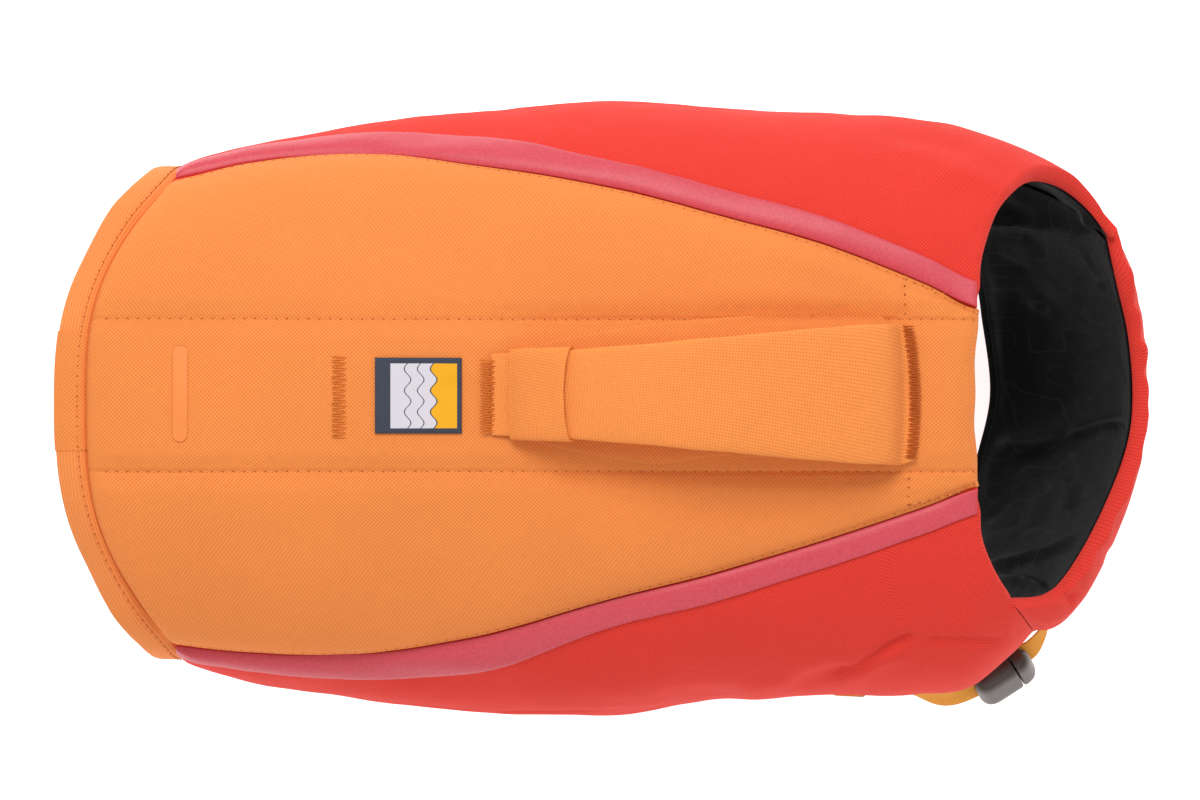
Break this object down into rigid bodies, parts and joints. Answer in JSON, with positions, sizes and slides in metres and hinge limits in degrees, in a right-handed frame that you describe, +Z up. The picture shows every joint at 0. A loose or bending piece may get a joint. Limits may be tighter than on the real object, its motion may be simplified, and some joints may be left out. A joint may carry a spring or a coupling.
{
  "type": "dog life jacket",
  "caption": "Foam dog life jacket in its worn, hollow shape: panels over the back and sides, bib, grab handle on top, belly straps.",
  "frame": {"origin": "on the inner face of the back panel, in the middle of the wearer's back, where the wearer's back carries the jacket", "axes": "+X towards the wearer's head, +Y towards the wearer's left, +Z up, away from the wearer's back"},
  "size_m": [0.5146, 0.2901, 0.2698],
  "materials": {
    "orange_cloth": "plain-woven oxford cloth, matt",
    "red_cloth": "plain-woven oxford cloth, matt",
    "pink_reflective": "smooth reflective tape on cloth, slightly glossy",
    "ribbed_binding": "fine ribbed binding, matt",
    "black_lining": "thin satin-faced lining",
    "amber_webbing": "flat woven webbing, matt",
    "grey_acetal": "smooth moulded acetal",
    "woven_label": "fine woven label, matt"
  },
  "bodies": {
    "root": {"back_panel": "orange_cloth", "tail_tab": "orange_cloth", "tail_band_centre": "orange_cloth", "handle": "orange_cloth", "handle_base": "orange_cloth", "handle_cuff": "orange_cloth", "side_panel_left": "red_cloth", "side_panel_right": "red_cloth", "chest_panel": "red_cloth", "trim_left": "pink_reflective", "trim_right": "pink_reflective", "tail_band_left": "ribbed_binding", "tail_band_right": "ribbed_binding", "chest_lining": "black_lining", "neck_lining_left": "black_lining", "neck_lining_right": "black_lining", "neck_strap_side": "amber_webbing", "neck_strap_chest": "amber_webbing", "belly_strap_front_left": "amber_webbing", "belly_strap_front_right": "amber_webbing", "belly_strap_rear_left": "amber_webbing", "belly_strap_rear_right": "amber_webbing", "neck_buckle_socket": "grey_acetal", "neck_buckle_plug": "grey_acetal", "belly_socket_front": "grey_acetal", "belly_plug_front": "grey_acetal", "belly_socket_rear": "grey_acetal", "belly_plug_rear": "grey_acetal", "label": "woven_label"}
  },
  "joints": []
}
